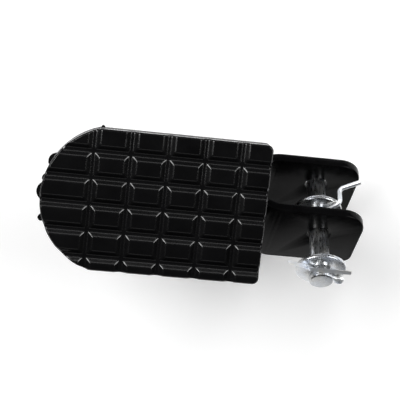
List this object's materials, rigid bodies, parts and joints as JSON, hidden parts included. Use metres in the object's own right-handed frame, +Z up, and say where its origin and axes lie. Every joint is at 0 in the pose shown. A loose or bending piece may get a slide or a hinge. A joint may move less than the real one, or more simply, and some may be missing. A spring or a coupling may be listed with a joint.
{
  "type": "tailgate step",
  "caption": "D-shaped rubber-covered step with a blocked tread, on a steel keel and a clevis rolled 45 degrees, with a headed pivot pin, loose washers and bent cotters.",
  "frame": {"origin": "on the pivot pin's axis, at the middle of the stretch that the truck's inner lug sits on", "axes": "+X from the rounded end of the tread towards the clevis, +Z up out of the tread, +Y across it towards the side that the pin's plain end leans to"},
  "size_m": [0.2175, 0.0925, 0.0881],
  "materials": {
    "tread_rubber": "moulded, semi-gloss",
    "black_paint": "gloss black",
    "zinc_steel": "bright zinc plate"
  },
  "bodies": {
    "step": {"tread_cover": "tread_rubber", "deck_plate": "black_paint", "support_keel": "black_paint", "keel_welds": "black_paint", "clevis_weld": "black_paint", "clevis_strap": "black_paint"},
    "pin": {"pivot_pin": "zinc_steel", "inner_cotter_pin": "zinc_steel", "outer_cotter_pin": "zinc_steel"},
    "inner_washer": {"inner_washer": "zinc_steel"},
    "outer_washer": {"outer_washer": "zinc_steel"}
  },
  "joints": [
    {"name": "pin_turn", "type": "hinge", "parent": "step", "child": "pin", "pos_m": [0, 0, 0], "axis": [0, 0.7071, -0.7071], "continuous": true},
    {"name": "inner_washer_slide", "type": "slide", "parent": "pin", "child": "inner_washer", "axis": [0, 0.7071, -0.7071], "range_m": [0, 0.0205]},
    {"name": "outer_washer_slide", "type": "slide", "parent": "pin", "child": "outer_washer", "axis": [0, 0.7071, -0.7071], "range_m": [0, 0.0254]}
  ]
}
